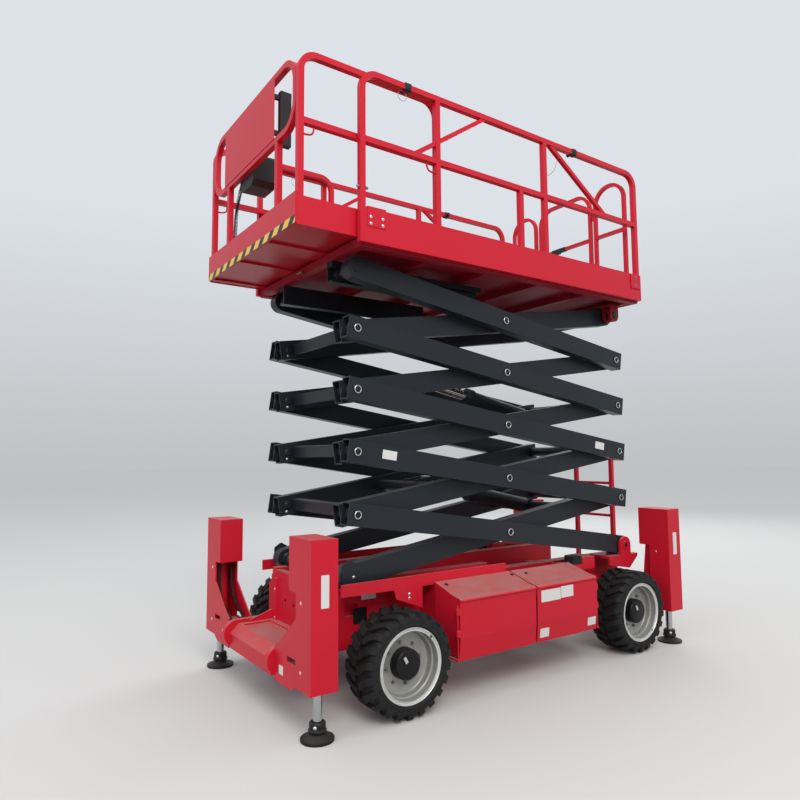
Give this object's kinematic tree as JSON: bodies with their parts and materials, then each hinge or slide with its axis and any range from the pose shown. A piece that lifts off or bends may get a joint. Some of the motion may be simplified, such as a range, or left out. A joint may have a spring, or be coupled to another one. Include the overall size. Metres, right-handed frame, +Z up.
{
  "type": "scissor lift",
  "caption": "Rough-terrain scissor lift on wheels and outriggers, with a railed work platform that extends forward, its scissor stack part raised.",
  "frame": {"origin": "middle of the overall box, on the ground under the machine", "axes": "+X forward, +Y to the machine's left, +Z up"},
  "size_m": [3.519, 1.83, 3.9949],
  "materials": {
    "red": "gloss",
    "charcoal": "satin",
    "tyre": "matte",
    "rim": "satin",
    "chrome": "polished",
    "leg": "satin",
    "deck": "satin",
    "black_plastic": "matte"
  },
  "bodies": {
    "chassis": {"side_frames": "red", "cross_members": "red", "front_beam": "red", "rear_beam": "red", "pivot_brackets": "red", "axles": "charcoal", "outrigger_columns": "red", "side_trays": "red", "power_units": "black_plastic", "entry_ladder": "red", "rest_pads": "black_plastic"},
    "steering_left": {"knuckle_left": "charcoal"},
    "steering_right": {"knuckle_right": "charcoal"},
    "wheel_front_left": {"rim_front_left": "rim", "tyre_front_left": "tyre"},
    "outrigger_front_left": {"outrigger_leg_front_left": "leg"},
    "hood_front_left": {"hood_front_left": "red"},
    "wheel_front_right": {"rim_front_right": "rim", "tyre_front_right": "tyre"},
    "outrigger_front_right": {"outrigger_leg_front_right": "leg"},
    "hood_front_right": {"hood_front_right": "red"},
    "wheel_rear_left": {"rim_rear_left": "rim", "tyre_rear_left": "tyre"},
    "outrigger_rear_left": {"outrigger_leg_rear_left": "leg"},
    "hood_rear_left": {"hood_rear_left": "red"},
    "wheel_rear_right": {"rim_rear_right": "rim", "tyre_rear_right": "tyre"},
    "outrigger_rear_right": {"outrigger_leg_rear_right": "leg"},
    "hood_rear_right": {"hood_rear_right": "red"},
    "outer_1": {"outer_arms_1": "charcoal"},
    "inner_1": {"inner_arms_1": "charcoal", "arm_shafts_1": "charcoal"},
    "outer_2": {"outer_arms_2": "charcoal"},
    "inner_2": {"inner_arms_2": "charcoal", "arm_shafts_2": "charcoal"},
    "outer_3": {"outer_arms_3": "charcoal"},
    "inner_3": {"inner_arms_3": "charcoal", "arm_shafts_3": "charcoal"},
    "outer_4": {"outer_arms_4": "charcoal"},
    "inner_4": {"inner_arms_4": "charcoal", "arm_shafts_4": "charcoal"},
    "outer_5": {"outer_arms_5": "charcoal", "top_rollers": "charcoal"},
    "inner_5": {"inner_arms_5": "charcoal", "arm_shafts_5": "charcoal"},
    "lower_barrel": {"lower_cylinder_barrel": "charcoal"},
    "lower_rod": {"lower_cylinder_rod": "chrome"},
    "upper_barrel": {"upper_cylinder_barrel": "charcoal"},
    "upper_rod": {"upper_cylinder_rod": "chrome"},
    "platform": {"main_deck": "deck", "roller_guides": "charcoal", "deck_sides": "red", "main_rails": "red", "rear_fence": "red"},
    "gate": {"entry_gate": "red"},
    "extension": {"extension_deck": "red", "extension_rails": "red", "sign_panel": "red", "control_box": "black_plastic", "control_cable": "black_plastic"}
  },
  "joints": [
    {"name": "lift", "type": "hinge", "parent": "chassis", "child": "outer_1", "pos_m": [-1.3685, 0, 0.797], "axis": [0, -1, 0], "range_deg": [-5.18, 48.42]},
    {"name": "mid_pivot_1", "type": "hinge", "parent": "outer_1", "child": "inner_1", "pos_m": [-0.06327, 0, 0.99393], "axis": [0, -1, 0], "range_deg": [-98.14, 11.66]},
    {"name": "rear_pivot_2", "type": "hinge", "parent": "inner_1", "child": "outer_2", "pos_m": [-1.3685, 0, 1.19086], "axis": [0, -1, 0], "range_deg": [-11.66, 98.14]},
    {"name": "mid_pivot_2", "type": "hinge", "parent": "outer_2", "child": "inner_2", "pos_m": [-0.06327, 0, 1.38779], "axis": [0, -1, 0], "range_deg": [-98.14, 11.66]},
    {"name": "rear_pivot_3", "type": "hinge", "parent": "inner_2", "child": "outer_3", "pos_m": [-1.3685, 0, 1.58472], "axis": [0, -1, 0], "range_deg": [-11.66, 98.14]},
    {"name": "mid_pivot_3", "type": "hinge", "parent": "outer_3", "child": "inner_3", "pos_m": [-0.06327, 0, 1.78165], "axis": [0, -1, 0], "range_deg": [-98.14, 11.66]},
    {"name": "rear_pivot_4", "type": "hinge", "parent": "inner_3", "child": "outer_4", "pos_m": [-1.3685, 0, 1.97859], "axis": [0, -1, 0], "range_deg": [-11.66, 98.14]},
    {"name": "mid_pivot_4", "type": "hinge", "parent": "outer_4", "child": "inner_4", "pos_m": [-0.06327, 0, 2.17552], "axis": [0, -1, 0], "range_deg": [-98.14, 11.66]},
    {"name": "rear_pivot_5", "type": "hinge", "parent": "inner_4", "child": "outer_5", "pos_m": [-1.3685, 0, 2.37245], "axis": [0, -1, 0], "range_deg": [-11.66, 98.14]},
    {"name": "mid_pivot_5", "type": "hinge", "parent": "outer_5", "child": "inner_5", "pos_m": [-0.06327, 0, 2.56938], "axis": [0, -1, 0], "range_deg": [-98.14, 11.66]},
    {"name": "platform_pivot", "type": "hinge", "parent": "inner_5", "child": "platform", "pos_m": [-1.3685, 0, 2.76631], "axis": [0, -1, 0], "range_deg": [-6.48, 49.72]},
    {"name": "lower_cylinder_pivot", "type": "hinge", "parent": "inner_1", "child": "lower_barrel", "pos_m": [-0.85432, 0, 1.11328], "axis": [0, -1, 0], "range_deg": [-12.4, 105.06]},
    {"name": "lower_cylinder_slide", "type": "slide", "parent": "lower_barrel", "child": "lower_rod", "axis": [0.9784, 0, 0.2067], "range_m": [-0.0331, 0.2931]},
    {"name": "upper_cylinder_pivot", "type": "hinge", "parent": "inner_3", "child": "upper_barrel", "pos_m": [-0.85432, 0, 1.90101], "axis": [0, -1, 0], "range_deg": [-12.4, 105.06]},
    {"name": "upper_cylinder_slide", "type": "slide", "parent": "upper_barrel", "child": "upper_rod", "axis": [0.9784, 0, 0.2067], "range_m": [-0.0331, 0.2931]},
    {"name": "steer_left", "type": "hinge", "parent": "chassis", "child": "steering_left", "pos_m": [1.0395, 0.695, 0.313], "axis": [0, 0, 1], "range_deg": [-30, 30]},
    {"name": "steer_right", "type": "hinge", "parent": "chassis", "child": "steering_right", "pos_m": [1.0395, -0.695, 0.313], "axis": [0, 0, 1], "range_deg": [-30.5, 30.5]},
    {"name": "wheel_front_left_spin", "type": "hinge", "parent": "steering_left", "child": "wheel_front_left", "pos_m": [1.0395, 0.755, 0.313], "axis": [0, 1, 0], "continuous": true},
    {"name": "wheel_front_right_spin", "type": "hinge", "parent": "steering_right", "child": "wheel_front_right", "pos_m": [1.0395, -0.755, 0.313], "axis": [0, 1, 0], "continuous": true},
    {"name": "wheel_rear_left_spin", "type": "hinge", "parent": "chassis", "child": "wheel_rear_left", "pos_m": [-1.1945, 0.755, 0.313], "axis": [0, 1, 0], "continuous": true},
    {"name": "wheel_rear_right_spin", "type": "hinge", "parent": "chassis", "child": "wheel_rear_right", "pos_m": [-1.1945, -0.755, 0.313], "axis": [0, 1, 0], "continuous": true},
    {"name": "outrigger_front_left_slide", "type": "slide", "parent": "chassis", "child": "outrigger_front_left", "axis": [0, 0, 1], "range_m": [-0.25, 0.165]},
    {"name": "outrigger_front_right_slide", "type": "slide", "parent": "chassis", "child": "outrigger_front_right", "axis": [0, 0, 1], "range_m": [-0.25, 0.165]},
    {"name": "outrigger_rear_left_slide", "type": "slide", "parent": "chassis", "child": "outrigger_rear_left", "axis": [0, 0, 1], "range_m": [-0.25, 0.165]},
    {"name": "outrigger_rear_right_slide", "type": "slide", "parent": "chassis", "child": "outrigger_rear_right", "axis": [0, 0, 1], "range_m": [-0.25, 0.165]},
    {"name": "hood_front_left_hinge", "type": "hinge", "parent": "chassis", "child": "hood_front_left", "pos_m": [0.6645, 0.868, 0.5], "axis": [0, 0, 1], "range_deg": [-90, 0]},
    {"name": "hood_front_right_hinge", "type": "hinge", "parent": "chassis", "child": "hood_front_right", "pos_m": [0.6645, -0.868, 0.5], "axis": [0, 0, 1], "range_deg": [0, 90]},
    {"name": "hood_rear_left_hinge", "type": "hinge", "parent": "chassis", "child": "hood_rear_left", "pos_m": [-0.6835, 0.868, 0.5], "axis": [0, 0, 1], "range_deg": [0, 90]},
    {"name": "hood_rear_right_hinge", "type": "hinge", "parent": "chassis", "child": "hood_rear_right", "pos_m": [-0.6835, -0.868, 0.5], "axis": [0, 0, 1], "range_deg": [-90, 0]},
    {"name": "gate_hinge", "type": "hinge", "parent": "platform", "child": "gate", "pos_m": [-1.4135, 0.38, 3.5], "axis": [0, 0, 1], "range_deg": [0, 90]},
    {"name": "extension_slide", "type": "slide", "parent": "platform", "child": "extension", "axis": [1, 0, 0], "range_m": [-0.41, 0.465]}
  ],
  "couplings": [
    {"joint": "mid_pivot_1", "follows": "lift", "ratio": -2},
    {"joint": "rear_pivot_2", "follows": "lift", "ratio": 2},
    {"joint": "mid_pivot_2", "follows": "lift", "ratio": -2},
    {"joint": "rear_pivot_3", "follows": "lift", "ratio": 2},
    {"joint": "mid_pivot_3", "follows": "lift", "ratio": -2},
    {"joint": "rear_pivot_4", "follows": "lift", "ratio": 2},
    {"joint": "mid_pivot_4", "follows": "lift", "ratio": -2},
    {"joint": "rear_pivot_5", "follows": "lift", "ratio": 2},
    {"joint": "mid_pivot_5", "follows": "lift", "ratio": -2},
    {"joint": "platform_pivot", "follows": "lift", "ratio": 1},
    {"joint": "lower_cylinder_pivot", "follows": "lift", "ratio": 2.1429},
    {"joint": "lower_cylinder_slide", "follows": "lift", "m_per_rad": 0.3445},
    {"joint": "upper_cylinder_pivot", "follows": "lift", "ratio": 2.1429},
    {"joint": "upper_cylinder_slide", "follows": "lift", "m_per_rad": 0.3445},
    {"joint": "steer_right", "follows": "steer_left", "ratio": 1}
  ]
}
